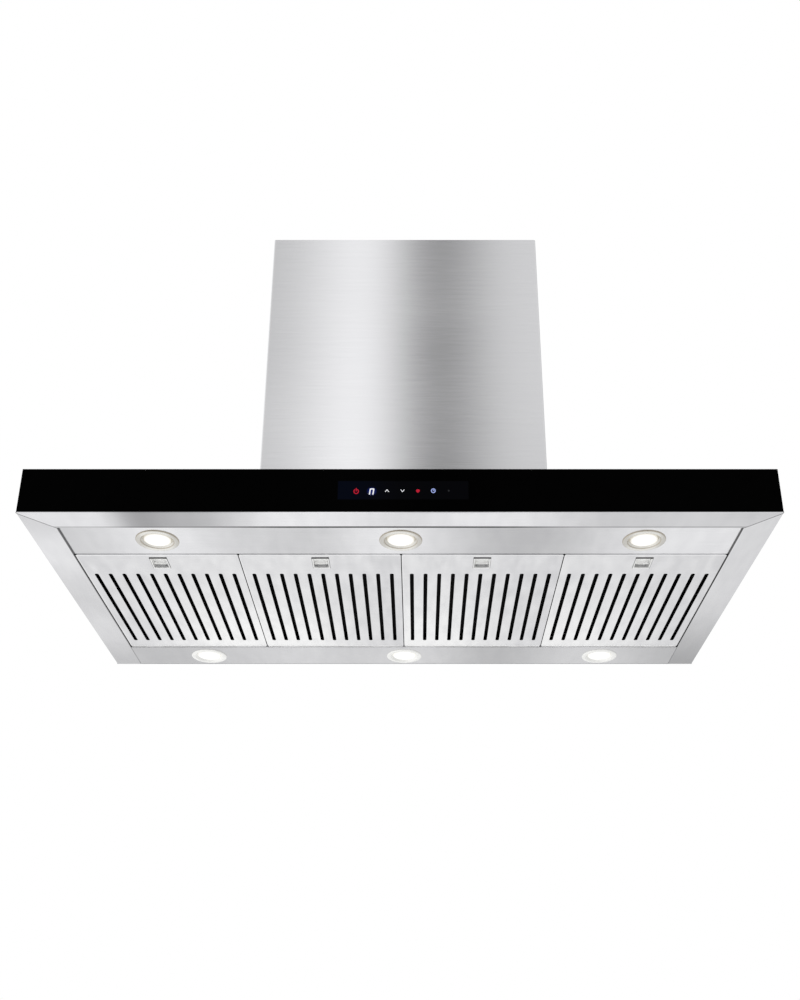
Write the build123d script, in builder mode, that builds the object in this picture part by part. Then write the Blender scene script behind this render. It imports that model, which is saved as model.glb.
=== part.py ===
"""Wall-mounted canopy range hood with a glass front, four hinged baffle filters and a telescopic chimney.

Millimetres. X runs to the right, Y towards the wall and Z up. The origin is on the wall plane, on the
middle line, level with the underside of the canopy's rim.
"""
import os

from build123d import *

# Canopy
canopy_width = 1200
canopy_depth = 650
canopy_height = 80
sheet = 1.0
bend_radius = 2.0
rim_width = 50
lip_height = 14
flange = 18
glass_thickness = 5
glass_bevel = 0.8
fit_gap = 0.3
wall_screw_spacing_x = 500
wall_screw_spacing_z = 30
wall_screw_height = 42
wall_screw_hole_radius = 4.5

# Underside panels and lights
front_strip_depth = 100
rear_strip_depth = 90
front_panel_recess = 4
panel_flange = 20
roll_radius = 2.0
light_spacing = 400
light_trim_radius = 35.5
light_trim_depth = 2.0
light_body_radius = 30.5
light_trim_step = 1.0
light_body_height = 18
light_seat_radius = 22.5
light_seat_depth = 3
lens_thickness = 2.5
lens_bevel = 0.8
clip_width = 8
clip_height = 11
clip_reach = 8
clip_toe = 3
clip_toe_rise = 1.2
clip_sheet = 0.6

# Touch control behind the glass
control_width = 208
control_height = 35
control_depth = 13
control_wall = 1.5
control_flange = 6
post_length = 6
post_width = 3
control_offset = 5
control_centre_height = 41
board_thickness = 1.6

# Filters
filter_count = 4
filter_gap = 1.6
filter_front_gap = 1.2
filter_sheet = 0.8
filter_face_height = 3.0
filter_height = 14
filter_corner_radius = 2
slot_width = 7
slot_pitch = 24
slot_side_margin = 15
slot_front_margin = 72
slot_rear_margin = 30
hook_width = 30
hook_spacing = 180
hook_clearance = 0.4
hook_sheet = 1.0
hook_start_angle = 30
hook_sweep_angle = 120
hook_arm = 4.5
hook_root_share = 0.85
baffle_width = 17
baffle_height = 8
baffle_gap = 4
rail_setback = 6

# Filter latches
latch_setback = 10
bezel_width = 2.5
cup_width = 25
cup_length = 34.5
cup_depth = 8.2
ledge_width = 1.2
ledge_thickness = 1.0
latch_plate = 1.5
latch_length = 24
latch_start = 0.8
tab_reach = 5.6
tab_edge_radius = 0.65
tongue_width = 14
tongue_engagement = 4.5
latch_clearance = 0.3
slot_clearance = 1.0
spring_sheet = 0.5
spring_width = 3.4
spring_half_chord = 9

# Chimney
chimney_width = 560
chimney_depth = 300
chimney_height = 780
chimney_bend_radius = 3.0
chimney_return = 15
slide_gap = 1.0
upper_cover_setback = 14
foot_tab_length = 30
foot_tab_inset = 30
bracket_sheet = 1.5
bracket_bend_radius = 2.25
bracket_height = 25
bracket_setback = 8
bracket_hole_spacing = 200
bracket_hole_radius = 3.5
vent_count = 6
vent_length = 120
vent_height = 6
vent_pitch = 14
vent_setback = 60

# Blower
wheel_radius = 72
wheel_width = 105
wheel_disc = 1.5
blade_count = 20
blade_depth = 13
blade_thickness = 1.0
blade_curve_radius = 12
wheel_ring = 7
hub_radius = 10
hub_length = 30
shaft_radius = 4
running_clearance = 0.05
scroll_gap = 13
scroll_step = 10
scroll_wall = 2
scroll_side_gap = 4
scroll_floor_gap = 25
neck_width = 85
neck_rise = 60
tongue_radius = 8
inlet_lip = 7
service_gap = 8
box_flange = 12
box_rear_gap = 12
motor_radius = 42
motor_bell_radius = 36
motor_bell = 8
motor_length = 80
motor_inset = 13
spider_gap = 0.1
bracket_ring = 4
bracket_ring_length = 14
bracket_arm = 4
bracket_arm_width = 16
bracket_arm_reach = 16

# Outlet collar and damper
duct_radius = 74
collar_wall = 1.5
collar_length = 60
collar_flange = 14
collar_setback = 112
damper_height = 16
ledge_reach = 3.5
pin_radius = 2
flap_sheet = 0.8
flap_clearance = 0.7
knuckle_radius = 3.6
knuckle_length = 18
knuckle_pitch = 30
knuckle_gap = 0.6
pin_end_inset = 0.5
ledge_gap = 14

# Electronics and fasteners
electronics_width = 40
electronics_depth = 140
electronics_height = 90
electronics_wall = 2
gland_bore_radius = 5
gland_thread_radius = 8
gland_thread_length = 6
gland_flat_radius = 12
gland_hex_height = 8
gland_cap_radius = 9.5
gland_cap_height = 12
screw_radius = 2
screw_hole_radius = 2.2
screw_length = 8
screw_head_radius = 3.6
screw_head_height = 2.2

# Planes and places worked out from the sizes above
side = canopy_width / 2
front = -canopy_depth
web_front = front + glass_thickness
flange_top = canopy_height - sheet
rim_inner = side - rim_width
bay_front = front + rim_width + front_strip_depth
front_light_y = front + rim_width + front_strip_depth / 2
rear_light_y = -rear_strip_depth / 2
light_hole_radius = light_body_radius + fit_gap
light_places = [(x, front_light_y, front_panel_recess) for x in (-light_spacing, 0, light_spacing)]
light_places += [(x, rear_light_y, 0) for x in (-light_spacing, 0, light_spacing)]

filter_pitch = 2 * rim_inner / filter_count
filter_width = filter_pitch - filter_gap
filter_centres = [filter_pitch * (i - (filter_count - 1) / 2) for i in range(filter_count)]
filter_front = bay_front + filter_front_gap
roll_y = -rear_strip_depth + roll_radius
filter_rear = roll_y - hook_arm
filter_depth = filter_rear - filter_front
face_top = filter_face_height + filter_sheet

cup_front = filter_front + latch_setback + bezel_width
cup_rear = cup_front + cup_length
cup_middle = (cup_front + cup_rear) / 2
cup_ceiling = filter_face_height + cup_depth
plate_top = cup_ceiling - latch_clearance
plate_bottom = plate_top - latch_plate
plate_front = cup_front + latch_start
plate_rear = plate_front + latch_length
tongue_tip = bay_front - tongue_engagement
tongue_middle = (plate_top + plate_bottom) / 2

scroll_radius = wheel_radius + scroll_gap
scroll_half_width = wheel_width / 2 + scroll_side_gap
scroll_reach_rear = scroll_radius + 2.5 * scroll_step
scroll_reach_down = scroll_radius + 1.5 * scroll_step
box_rear = -box_rear_gap
collar_y = -collar_setback
wheel_y = collar_y + neck_width / 2 - scroll_reach_rear
wheel_z = canopy_height + scroll_floor_gap + scroll_wall + scroll_reach_down
neck_top = wheel_radius + neck_rise
box_top = wheel_z + neck_top
upper_inset = sheet + slide_gap
upper_half_width = chimney_width / 2 - upper_inset
upper_inner_half = upper_half_width - sheet
electronics_x = upper_inner_half - service_gap - electronics_width / 2
box_half_width = electronics_x - electronics_width / 2 - service_gap
box_front = -(chimney_depth - upper_inset - sheet - service_gap)
collar_base = box_top + sheet
pin_height = collar_base + damper_height
duct_bore = duct_radius - collar_wall


def folded_strip(*points, radius=bend_radius, thickness=sheet):
    """Add a folded sheet to the open sketch: a path rounded at its bends, thickened on its left."""
    with BuildLine() as path:
        FilletPolyline(*points, radius=radius)
        offset(amount=thickness, side=Side.LEFT)
    make_face(path.edges())


# Front glass
with BuildPart() as front_glass:
    with BuildSketch(Plane.XZ.offset(-web_front)):
        with Locations((0, (2 * sheet + canopy_height) / 2)):
            Rectangle(canopy_width, canopy_height - 2 * sheet)
    extrude(amount=glass_thickness)
    chamfer(front_glass.faces().sort_by(Axis.Y)[0].edges(), glass_bevel)

# Front channel: rim with a hem under the glass, web behind the glass and a top flange, mitred at both ends
right_mitre = Plane(origin=(side, front, 0), x_dir=(0, 0, 1), z_dir=(1, 1, 0))
left_mitre = Plane(origin=(-side, front, 0), x_dir=(0, 0, 1), z_dir=(-1, 1, 0))
with BuildPart() as front_channel:
    with BuildSketch(Plane.YZ):
        folded_strip((front, 0), (front + rim_width, 0), (front + rim_width, lip_height))
        with Locations((front, sheet)):
            Rectangle(glass_thickness + sheet, sheet, align=Align.MIN)
        folded_strip((web_front + flange, flange_top), (web_front, flange_top), (web_front, sheet))
    extrude(amount=side, both=True)
    split(bisect_by=right_mitre, keep=Keep.BOTTOM)
    split(bisect_by=left_mitre, keep=Keep.BOTTOM)
    with BuildSketch(Plane.XZ.offset(-web_front)):
        with Locations((control_offset, control_centre_height)):
            Rectangle(control_width + 2 * fit_gap, control_height + 2 * fit_gap)
    extrude(amount=-2 * sheet, mode=Mode.SUBTRACT)

# Side panels
with BuildPart() as right_side_panel:
    with BuildSketch(Plane.XZ.offset(sheet)):
        folded_strip(
            (rim_inner, lip_height), (rim_inner, 0), (side, 0), (side, flange_top), (side - flange, flange_top)
        )
    extrude(amount=canopy_depth - sheet)
    split(bisect_by=right_mitre, keep=Keep.TOP)
    with Locations((side, front, 2 * sheet)):
        Box(rim_width, glass_thickness, canopy_height, align=(Align.MAX, Align.MIN, Align.MIN), mode=Mode.SUBTRACT)

with BuildPart() as left_side_panel:
    mirror(right_side_panel.part, about=Plane.YZ)

# Rear panel with the wall-screw holes
with BuildPart() as rear_panel:
    with BuildSketch(Plane.XZ):
        with Locations((0, flange_top / 2)):
            Rectangle(canopy_width, flange_top)
        with Locations((0, wall_screw_height)):
            with GridLocations(wall_screw_spacing_x, wall_screw_spacing_z, 2, 2):
                Circle(wall_screw_hole_radius, mode=Mode.SUBTRACT)
    extrude(amount=sheet)
    with Locations((0, -sheet, flange_top)):
        Box(2 * (side - flange - fit_gap), flange, sheet, align=(Align.CENTER, Align.MAX, Align.MAX))

# Top panel: air opening under the blower and holes for the chimney's screws
opening_front = box_front + sheet + box_flange
opening_rear = box_rear - sheet - box_flange
opening_half_width = box_half_width - sheet - box_flange
tab_screw_x = chimney_width / 2 - sheet - chimney_return / 2
tab_screw_rows = (-chimney_depth + foot_tab_inset + foot_tab_length / 2, -foot_tab_inset - foot_tab_length / 2)
chimney_screw_places = [(x, y) for x in (-tab_screw_x, tab_screw_x) for y in tab_screw_rows]
box_middle = (box_front + box_rear) / 2
with BuildPart() as top_panel:
    with BuildSketch(Plane.XY.offset(flange_top)):
        with Locations((0, web_front / 2)):
            Rectangle(canopy_width, -web_front)
        with Locations((0, (opening_front + opening_rear) / 2)):
            Rectangle(2 * opening_half_width, opening_rear - opening_front, mode=Mode.SUBTRACT)
        with Locations(*chimney_screw_places):
            Circle(screw_hole_radius, mode=Mode.SUBTRACT)
    extrude(amount=sheet)

# Front light panel: recessed plate whose rear flange takes the latch tongues
panel_half_width = rim_inner - fit_gap
with BuildPart() as front_light_panel:
    with BuildSketch(Plane.YZ):
        folded_strip(
            (front + rim_width, lip_height),
            (front + rim_width, front_panel_recess),
            (bay_front, front_panel_recess),
            (bay_front, front_panel_recess + panel_flange),
        )
    extrude(amount=panel_half_width, both=True)
    with BuildSketch(Plane.XY):
        with Locations(*[(x, y) for x, y, z in light_places[:3]]):
            Circle(light_hole_radius)
    extrude(amount=front_panel_recess + 2 * sheet, mode=Mode.SUBTRACT)
    with BuildSketch(Plane.XZ.offset(-bay_front)):
        with Locations(*[(x, tongue_middle) for x in filter_centres]):
            Rectangle(tongue_width + 2 * slot_clearance, latch_plate + 2 * slot_clearance)
    extrude(amount=2 * sheet, mode=Mode.SUBTRACT)

# Rear light panel: its rolled front edge is the pin that the filters hang on
with BuildPart() as rear_light_panel:
    with BuildSketch(Plane.YZ):
        folded_strip((roll_y, 0), (-sheet, 0), (-sheet, panel_flange))
        with Locations((roll_y, roll_radius)):
            Circle(roll_radius)
    extrude(amount=panel_half_width, both=True)
    with BuildSketch(Plane.XY):
        with Locations(*[(x, y) for x, y, z in light_places[3:]]):
            Circle(light_hole_radius)
    extrude(amount=2 * sheet, mode=Mode.SUBTRACT)

# Touch control: an open housing that presses its board against the back of the glass
with BuildPart() as control_housing:
    with BuildSketch(Plane.XZ.offset(-web_front)):
        with Locations((control_offset, control_centre_height)):
            Rectangle(control_width, control_height)
    extrude(amount=-control_depth)
    with BuildSketch(Plane.XZ.offset(-web_front - sheet)):
        with Locations((control_offset, control_centre_height)):
            Rectangle(control_width + 2 * control_flange, control_height + 2 * control_flange)
    extrude(amount=-control_wall)
    with BuildSketch(Plane.XZ.offset(-web_front)):
        with Locations((control_offset, control_centre_height)):
            Rectangle(control_width - 2 * control_wall, control_height - 2 * control_wall)
    extrude(amount=-(control_depth - control_wall), mode=Mode.SUBTRACT)
    with BuildSketch(Plane.XZ.offset(-web_front - board_thickness)):
        with Locations((control_offset, control_centre_height)):
            with GridLocations(control_width / 2, control_height - post_width, 2, 2):
                Rectangle(post_length, post_width)
    extrude(amount=-(control_depth - board_thickness))

with BuildPart() as control_board:
    with BuildSketch(Plane.XZ.offset(-web_front)):
        with Locations((control_offset, control_centre_height)):
            RectangleRounded(
                control_width - 2 * control_wall - 2 * fit_gap,
                control_height - 2 * control_wall - 2 * fit_gap,
                control_wall,
            )
    extrude(amount=-board_thickness)

# Lights: one turned housing, lens and pair of spring clips, repeated at the six places
seat_top = light_seat_depth + lens_thickness
with BuildPart() as light_housing:
    with BuildSketch(Plane.XZ):
        with BuildLine():
            Polyline(
                (0, seat_top),
                (light_seat_radius, seat_top),
                (light_seat_radius, light_seat_depth),
                (light_body_radius - light_trim_step, -light_trim_depth),
                (light_trim_radius - light_trim_depth / 2, -light_trim_depth),
                (light_trim_radius, 0),
                (light_body_radius, 0),
                (light_body_radius, light_body_height),
                (0, light_body_height),
                close=True,
            )
        make_face()
    revolve(axis=Axis.Z)

with BuildPart() as light_lens:
    with BuildSketch(Plane.XZ):
        with BuildLine():
            lens_edge = light_seat_radius - fit_gap
            Polyline(
                (0, seat_top),
                (lens_edge, seat_top),
                (lens_edge - lens_bevel, light_seat_depth),
                (0, light_seat_depth),
                close=True,
            )
        make_face()
    revolve(axis=Axis.Z)

with BuildPart() as light_clip:
    with BuildSketch(Plane.XZ):
        folded_strip(
            (light_body_radius + clip_sheet, clip_height),
            (light_body_radius + clip_sheet, clip_height / 2),
            (light_body_radius + clip_reach, sheet + clip_sheet),
            (light_body_radius + clip_reach + clip_toe, sheet + clip_sheet + clip_toe_rise),
            radius=clip_sheet,
            thickness=-clip_sheet,
        )
    extrude(amount=clip_width / 2, both=True)
    mirror(about=Plane.YZ)

with BuildPart() as light_housings:
    with Locations(*light_places):
        add(light_housing.part)

with BuildPart() as light_lenses:
    with Locations(*light_places):
        add(light_lens.part)

with BuildPart() as light_clips:
    with Locations(*light_places):
        add(light_clip.part)

# Filter frame: a slotted tray with two hooks that turn on the rolled edge
filter_middle = (filter_front + filter_rear) / 2
slot_count = int((filter_width - 2 * slot_side_margin) // slot_pitch) + 1
slot_front = filter_front + slot_front_margin
slot_rear = filter_rear - slot_rear_margin
slot_middle = (slot_front + slot_rear) / 2
slot_length = slot_rear - slot_front
cup_outer_width = cup_width + 2 * filter_sheet
cup_outer_length = cup_length + 2 * filter_sheet
hook_radius = roll_radius + hook_clearance + hook_sheet / 2
with BuildPart() as filter_frame:
    with BuildSketch(Plane.XY.offset(filter_face_height)):
        with Locations((0, filter_middle)):
            RectangleRounded(filter_width, filter_depth, filter_corner_radius)
    extrude(amount=filter_height)
    offset(amount=-filter_sheet, openings=filter_frame.faces().sort_by(Axis.Z)[-1])
    with BuildSketch(Plane.XY.offset(filter_face_height)):
        with Locations((0, slot_middle)):
            with GridLocations(slot_pitch, slot_pitch, slot_count, 1):
                SlotOverall(slot_length, slot_width, rotation=90)
        with Locations((0, cup_middle)):
            Rectangle(cup_outer_width + 2 * latch_clearance, cup_outer_length + 2 * latch_clearance)
    extrude(amount=filter_sheet, mode=Mode.SUBTRACT)
    with BuildSketch(Plane.XZ.offset(-filter_front)):
        with Locations((0, tongue_middle)):
            Rectangle(tongue_width + 2 * latch_clearance, latch_plate + 2 * latch_clearance)
    extrude(amount=-2 * filter_sheet, mode=Mode.SUBTRACT)
    hook_planes = [Plane.YZ.offset(x - hook_width / 2) for x in (-hook_spacing / 2, hook_spacing / 2)]
    for hook_plane in hook_planes:
        with BuildSketch(hook_plane):
            with BuildLine():
                CenterArc((roll_y, roll_radius), hook_radius, hook_start_angle, hook_sweep_angle)
                offset(amount=hook_sheet / 2)
            make_face()
            with Locations((filter_rear, filter_face_height)):
                Rectangle(hook_arm - hook_root_share * hook_radius, filter_sheet, align=Align.MIN)
        extrude(amount=hook_width)

# Baffles: channels over the slots between two end rails
rail_length = filter_width - 2 * filter_sheet - 2 * fit_gap
baffle_bottom = face_top + baffle_gap
with BuildPart() as filter_baffles:
    with BuildSketch(Plane.XZ.offset(-slot_front + rail_setback)):
        with Locations(*[((i - (slot_count - 1) / 2) * slot_pitch, baffle_bottom) for i in range(slot_count)]):
            Rectangle(baffle_width, baffle_height, align=(Align.CENTER, Align.MIN))
            Rectangle(
                baffle_width - 2 * filter_sheet,
                baffle_height - filter_sheet,
                align=(Align.CENTER, Align.MIN),
                mode=Mode.SUBTRACT,
            )
    extrude(amount=-(slot_length + 2 * rail_setback))
    with Locations((0, slot_front - rail_setback, face_top), (0, slot_rear + rail_setback, face_top)):
        Box(
            rail_length,
            filter_sheet,
            baffle_gap + baffle_height,
            align=(Align.CENTER, Align.CENTER, Align.MIN),
        )

# Latch cup: a pressed recess with a bezel and two ledges that carry the latch
with BuildPart() as latch_cup:
    with BuildSketch(Plane.XY.offset(filter_face_height)):
        with Locations((0, cup_middle)):
            Rectangle(cup_outer_width, cup_outer_length)
    extrude(amount=cup_depth + filter_sheet)
    with BuildSketch(Plane.XY.offset(filter_face_height - filter_sheet)):
        with Locations((0, cup_middle)):
            Rectangle(cup_width + 2 * bezel_width, cup_length + 2 * bezel_width)
    extrude(amount=filter_sheet)
    with BuildSketch(Plane.XY.offset(filter_face_height - filter_sheet)):
        with Locations((0, cup_middle)):
            Rectangle(cup_width, cup_length)
    extrude(amount=cup_depth + filter_sheet, mode=Mode.SUBTRACT)
    with BuildSketch(Plane.XY.offset(plate_bottom - latch_clearance - ledge_thickness)):
        with Locations((0, cup_middle)):
            with GridLocations(cup_width - ledge_width, cup_length, 2, 1):
                Rectangle(ledge_width, cup_length)
    extrude(amount=ledge_thickness)
    with BuildSketch(Plane.XZ.offset(-cup_front)):
        with Locations((0, tongue_middle)):
            Rectangle(tongue_width + 2 * latch_clearance, latch_plate + 2 * latch_clearance)
    extrude(amount=2 * filter_sheet, mode=Mode.SUBTRACT)

# Latch: sliding plate, finger tab at its rear end and tongue through the front wall
tab_width = cup_width - 2 * ledge_width - 2 * latch_clearance
with BuildPart() as latch:
    with BuildSketch(Plane.XY.offset(plate_bottom)):
        with Locations((0, (plate_front + plate_rear) / 2)):
            Rectangle(cup_width - 2 * latch_clearance, latch_length)
        with Locations((0, (tongue_tip + plate_front) / 2)):
            Rectangle(tongue_width, plate_front - tongue_tip)
    extrude(amount=latch_plate)
    with Locations((0, plate_rear, plate_bottom)):
        Box(tab_width, latch_plate, tab_reach, align=(Align.CENTER, Align.MAX, Align.MAX))
    fillet(latch.edges().filter_by(Axis.X).group_by(Axis.Z)[0], tab_edge_radius)

# Leaf spring: a bow between the tab and the rear wall of the cup
spring_bottom = plate_bottom - latch_clearance - ledge_thickness - spring_width
with BuildPart() as latch_spring:
    with BuildSketch(Plane.XY.offset(spring_bottom)):
        with BuildLine():
            bow_end = cup_rear - spring_sheet
            ThreePointArc((-spring_half_chord, bow_end), (0, plate_rear), (spring_half_chord, bow_end))
            offset(amount=spring_sheet, side=Side.LEFT)
        make_face()
    extrude(amount=spring_width)

# Lower chimney cover: three walls with rear returns, standing on the canopy on four foot tabs
lower_half_width = chimney_width / 2
with BuildPart() as lower_chimney_cover:
    with BuildSketch(Plane.XY.offset(canopy_height)):
        folded_strip(
            (-lower_half_width + chimney_return, 0),
            (-lower_half_width, 0),
            (-lower_half_width, -chimney_depth),
            (lower_half_width, -chimney_depth),
            (lower_half_width, 0),
            (lower_half_width - chimney_return, 0),
            radius=chimney_bend_radius,
        )
    extrude(amount=chimney_height)
    with BuildSketch(Plane.XY.offset(canopy_height)):
        with Locations(*chimney_screw_places):
            Rectangle(chimney_return + sheet, foot_tab_length)
            Circle(screw_hole_radius, mode=Mode.SUBTRACT)
    extrude(amount=sheet)

# Upper chimney cover: slides up inside the lower one, with vent slots near its top
upper_base = canopy_height + sheet
upper_height = chimney_height - sheet - upper_cover_setback
upper_front = -chimney_depth + upper_inset
upper_rear = -upper_inset
with BuildPart() as upper_chimney_cover:
    with BuildSketch(Plane.XY.offset(upper_base)):
        folded_strip(
            (-upper_half_width + chimney_return, upper_rear),
            (-upper_half_width, upper_rear),
            (-upper_half_width, upper_front),
            (upper_half_width, upper_front),
            (upper_half_width, upper_rear),
            (upper_half_width - chimney_return, upper_rear),
            radius=chimney_bend_radius,
        )
    extrude(amount=upper_height)
    with BuildSketch(Plane.YZ):
        with Locations((-chimney_depth / 2, upper_base + upper_height - vent_setback)):
            with GridLocations(vent_pitch, vent_pitch, 1, vent_count):
                Rectangle(vent_length, vent_height)
    extrude(amount=lower_half_width, both=True, mode=Mode.SUBTRACT)

# Bracket that holds the top of the upper cover to the wall
bracket_top = upper_base + upper_height - bracket_setback
bracket_half = upper_inner_half - chimney_bend_radius
bracket_step = upper_half_width - chimney_return - slide_gap
bracket_back = upper_rear - sheet
with BuildPart() as chimney_top_bracket:
    with BuildSketch(Plane.XY.offset(bracket_top - bracket_height)):
        folded_strip(
            (bracket_half, bracket_back),
            (bracket_step, bracket_back),
            (bracket_step + bracket_back, 0),
            (-bracket_step - bracket_back, 0),
            (-bracket_step, bracket_back),
            (-bracket_half, bracket_back),
            radius=bracket_bend_radius,
            thickness=bracket_sheet,
        )
    extrude(amount=bracket_height)
    with BuildSketch(Plane.XZ):
        with Locations((0, bracket_top - bracket_height / 2)):
            with GridLocations(bracket_hole_spacing, 1, 2, 1):
                Circle(bracket_hole_radius)
    extrude(amount=2 * bracket_sheet, mode=Mode.SUBTRACT)

# Blower box: back, sides and top on the air opening, open below and in front
box_depth = box_rear - box_front
box_width = 2 * box_half_width
box_height = box_top - canopy_height
cover_screw_x = box_half_width - sheet - box_flange / 2
cover_screw_rows = (canopy_height + box_height / 4, canopy_height + 3 * box_height / 4)
cover_screw_places = [(x, z) for x in (-cover_screw_x, cover_screw_x) for z in cover_screw_rows]
with BuildPart() as blower_box:
    with Locations((0, box_middle, canopy_height)):
        Box(
            box_width,
            box_depth,
            box_height + sheet,
            align=(Align.CENTER, Align.CENTER, Align.MIN),
        )
        Box(
            box_width - 2 * sheet,
            box_depth - 2 * sheet,
            box_height,
            align=(Align.CENTER, Align.CENTER, Align.MIN),
            mode=Mode.SUBTRACT,
        )
    with BuildSketch(Plane.XZ.offset(-box_front)):
        with Locations((0, canopy_height)):
            Rectangle(
                box_width - 2 * sheet - 2 * box_flange,
                box_height - box_flange,
                align=(Align.CENTER, Align.MIN),
            )
        with Locations(*cover_screw_places):
            Circle(screw_hole_radius)
    extrude(amount=-sheet, mode=Mode.SUBTRACT)
    with BuildSketch(Plane.XY.offset(canopy_height)):
        with Locations((0, box_middle)):
            Rectangle(box_width - 2 * sheet, box_depth - 2 * sheet)
            Rectangle(2 * opening_half_width, box_depth, mode=Mode.SUBTRACT)
    extrude(amount=sheet)
    with BuildSketch(Plane.XY.offset(box_top)):
        with Locations((0, collar_y)):
            Rectangle(2 * scroll_half_width, neck_width)
    extrude(amount=sheet, mode=Mode.SUBTRACT)

with BuildPart() as blower_box_cover:
    with BuildSketch(Plane.XZ.offset(-box_front)):
        with Locations((0, canopy_height)):
            Rectangle(box_width, box_height + sheet, align=(Align.CENTER, Align.MIN))
        with Locations(*cover_screw_places):
            Circle(screw_hole_radius, mode=Mode.SUBTRACT)
    extrude(amount=sheet)


def scroll_outline(grow, top):
    """Add the fan housing's outline to the open sketch: three quarter arcs of growing radius and a neck."""
    half_step = scroll_step / 2
    radii = [scroll_radius + i * scroll_step + grow for i in range(3)]
    first = (wheel_y - half_step, wheel_z - half_step)
    second = (wheel_y + half_step, wheel_z - half_step)
    third = (wheel_y + half_step, wheel_z + half_step)
    rear_wall = third[0] + radii[2]
    front_wall = rear_wall - neck_width - 2 * grow
    crown = first[1] + radii[0]
    with BuildLine() as path:
        CenterArc(first, radii[0], 90, 90)
        CenterArc(second, radii[1], 180, 90)
        CenterArc(third, radii[2], 270, 90)
        Line((rear_wall, third[1]), (rear_wall, wheel_z + top))
        Line((rear_wall, wheel_z + top), (front_wall, wheel_z + top))
        Line((front_wall, wheel_z + top), (front_wall, crown + tongue_radius - grow))
        RadiusArc(
            (front_wall, crown + tongue_radius - grow),
            (front_wall - tongue_radius + grow, crown),
            tongue_radius - grow,
        )
        Line((front_wall - tongue_radius + grow, crown), (first[0], crown))
    make_face(path.edges())


# Fan housing: a scroll with an inlet in each side, moulded in two halves
inlet_radius = wheel_radius - blade_depth - scroll_side_gap
scroll_axis = Plane(origin=(0, wheel_y, wheel_z), x_dir=(0, 1, 0), z_dir=(1, 0, 0))
with BuildPart() as scroll:
    with BuildSketch(Plane.YZ):
        scroll_outline(scroll_wall, neck_top)
    extrude(amount=scroll_half_width + scroll_wall, both=True)
    with BuildSketch(Plane.YZ):
        scroll_outline(0, neck_top + scroll_wall)
    extrude(amount=scroll_half_width, both=True, mode=Mode.SUBTRACT)
    for direction in (-1, 1):
        with BuildSketch(scroll_axis.offset(direction * (scroll_half_width + scroll_wall))):
            Circle(inlet_radius + scroll_wall)
        extrude(amount=-direction * (inlet_lip + scroll_wall))
    with BuildSketch(scroll_axis):
        Circle(inlet_radius)
    extrude(amount=scroll_half_width + scroll_wall, both=True, mode=Mode.SUBTRACT)

with BuildPart() as scroll_left_half:
    add(scroll.part)
    split(bisect_by=Plane.YZ, keep=Keep.BOTTOM)

with BuildPart() as scroll_right_half:
    add(scroll.part)
    split(bisect_by=Plane.YZ, keep=Keep.TOP)

# Impeller: a double-inlet wheel, with curved blades through a middle disc and a ring at each end
blade_inner = wheel_radius - blade_depth
with BuildSketch() as blade:
    with BuildLine():
        RadiusArc((blade_inner, 0), (wheel_radius - blade_thickness, blade_depth / 2), blade_curve_radius)
        offset(amount=blade_thickness, side=Side.LEFT)
    make_face()

with BuildPart() as impeller:
    with BuildSketch(scroll_axis):
        Circle(wheel_radius)
        Circle(shaft_radius + running_clearance / 2, mode=Mode.SUBTRACT)
    extrude(amount=wheel_disc / 2, both=True)
    with BuildSketch(scroll_axis):
        Circle(hub_radius)
        Circle(shaft_radius + running_clearance / 2, mode=Mode.SUBTRACT)
    extrude(amount=hub_length / 2, both=True)
    with BuildSketch(scroll_axis):
        with PolarLocations(0, blade_count):
            add(blade.sketch)
    extrude(amount=wheel_width / 2, both=True)
    for direction in (-1, 1):
        with BuildSketch(scroll_axis.offset(direction * wheel_width / 2)):
            Circle(wheel_radius)
            Circle(wheel_radius - wheel_ring, mode=Mode.SUBTRACT)
        extrude(amount=-direction * wheel_disc)

# Motor inside the left inlet, its shaft and the spider that holds it to the fan housing
motor_right = -(scroll_half_width + scroll_wall) + motor_inset
motor_left = motor_right - motor_length
motor_plane = Plane(origin=(0, wheel_y, wheel_z), x_dir=(1, 0, 0), z_dir=(0, -1, 0))
motor_bore = shaft_radius + running_clearance
with BuildPart() as motor:
    with BuildSketch(motor_plane):
        with BuildLine():
            Polyline(
                (motor_left, motor_bore),
                (motor_left, motor_bell_radius),
                (motor_left + motor_bell, motor_radius),
                (motor_right - motor_bell, motor_radius),
                (motor_right, motor_bell_radius),
                (motor_right, motor_bore),
                close=True,
            )
        make_face()
    revolve(axis=Axis(origin=(0, wheel_y, wheel_z), direction=(1, 0, 0)))

with BuildPart() as motor_shaft:
    with BuildSketch(scroll_axis.offset(motor_left)):
        Circle(shaft_radius)
    extrude(amount=hub_length / 2 - motor_left)

spider_inner = motor_radius + spider_gap
with BuildPart() as motor_bracket:
    with BuildSketch(scroll_axis.offset(-(scroll_half_width + scroll_wall))):
        with PolarLocations((spider_inner + inlet_radius + bracket_arm_reach) / 2, 3, start_angle=90):
            Rectangle(inlet_radius + bracket_arm_reach - spider_inner, bracket_arm_width)
        Circle(spider_inner, mode=Mode.SUBTRACT)
    extrude(amount=-bracket_arm)
    with BuildSketch(scroll_axis.offset(-(scroll_half_width + scroll_wall))):
        Circle(spider_inner + bracket_ring)
        Circle(spider_inner, mode=Mode.SUBTRACT)
    extrude(amount=-bracket_ring_length)

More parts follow.
